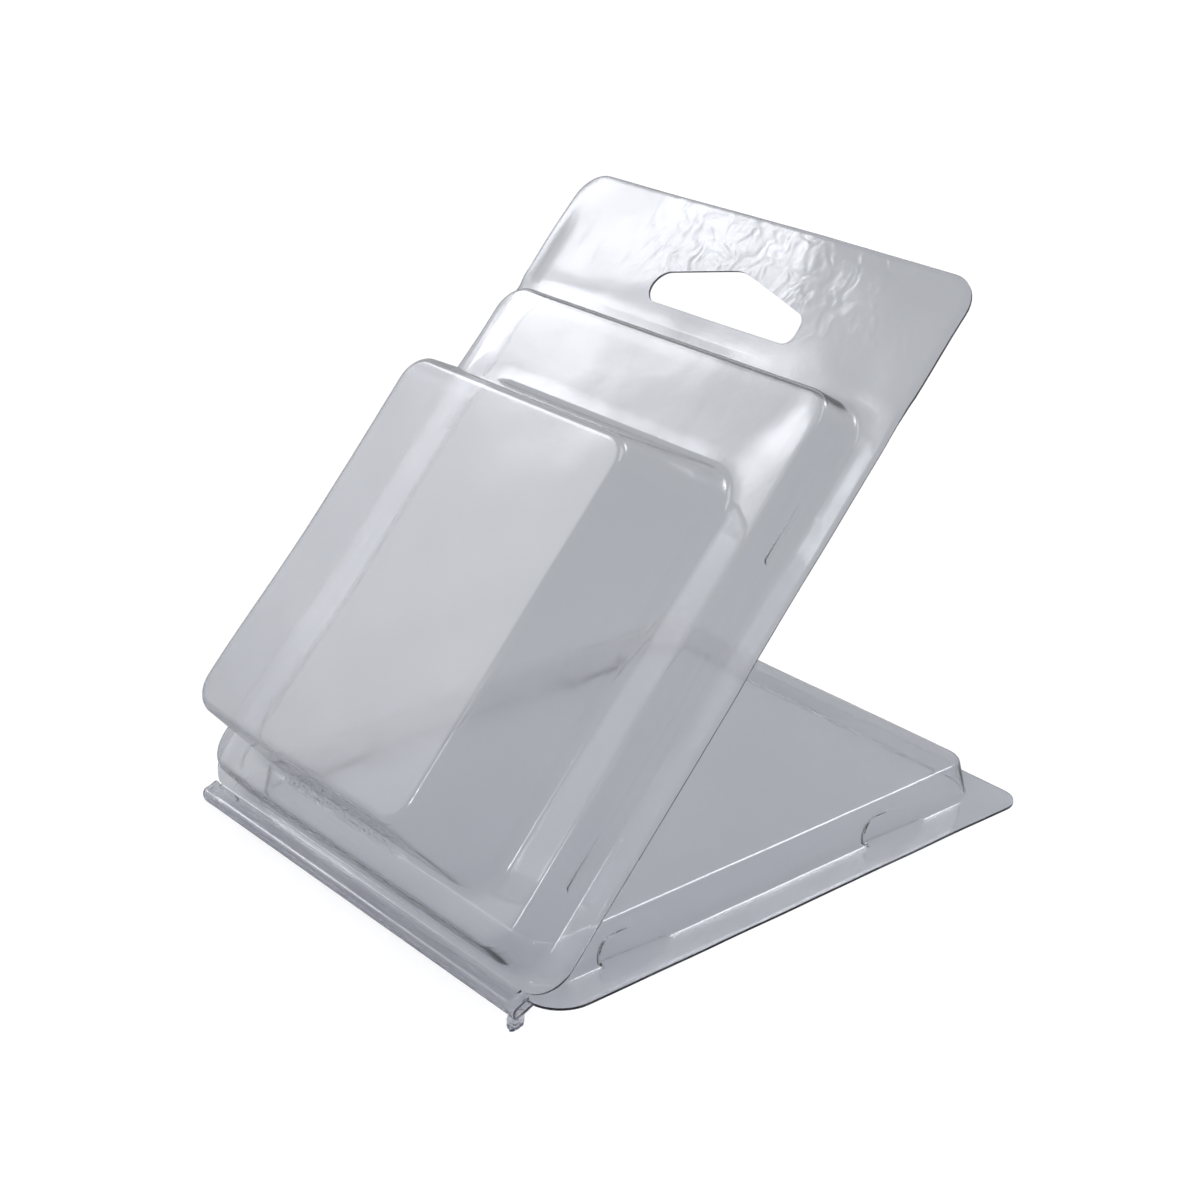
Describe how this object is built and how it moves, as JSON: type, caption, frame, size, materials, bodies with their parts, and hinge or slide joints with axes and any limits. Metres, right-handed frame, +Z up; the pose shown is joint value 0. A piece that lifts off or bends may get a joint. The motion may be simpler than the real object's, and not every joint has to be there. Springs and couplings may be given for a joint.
{
  "type": "plastic clamshell pack",
  "caption": "Clear thermoformed clamshell pack: plug tray back, stepped blister front with a hang hole, and a beaded living hinge, standing half open.",
  "frame": {"origin": "on the surface the pack stands on, under the middle of its bounding box as it stands open", "axes": "+X along the hinge, to the right as seen from the blister side; +Y from the hinge towards the tray's far edge; +Z up"},
  "size_m": [0.085, 0.1066, 0.0875],
  "materials": {
    "clear_sheet": "clear glossy film, faintly blue-violet where it is seen edge on or in layers"
  },
  "bodies": {
    "back_tray": {"back_tray": "clear_sheet"},
    "living_hinge": {"living_hinge": "clear_sheet"},
    "front_shell": {"front_shell": "clear_sheet"}
  },
  "joints": [
    {"name": "tray_crease", "type": "hinge", "parent": "back_tray", "child": "living_hinge", "pos_m": [0, -0.04113, 0.00109], "axis": [1, 0, 0], "range_deg": [-24.1, 66.25]},
    {"name": "front_crease", "type": "hinge", "parent": "living_hinge", "child": "front_shell", "pos_m": [0, -0.04196, 0.00301], "axis": [1, 0, 0], "range_deg": [-24.1, 66.25]}
  ]
}
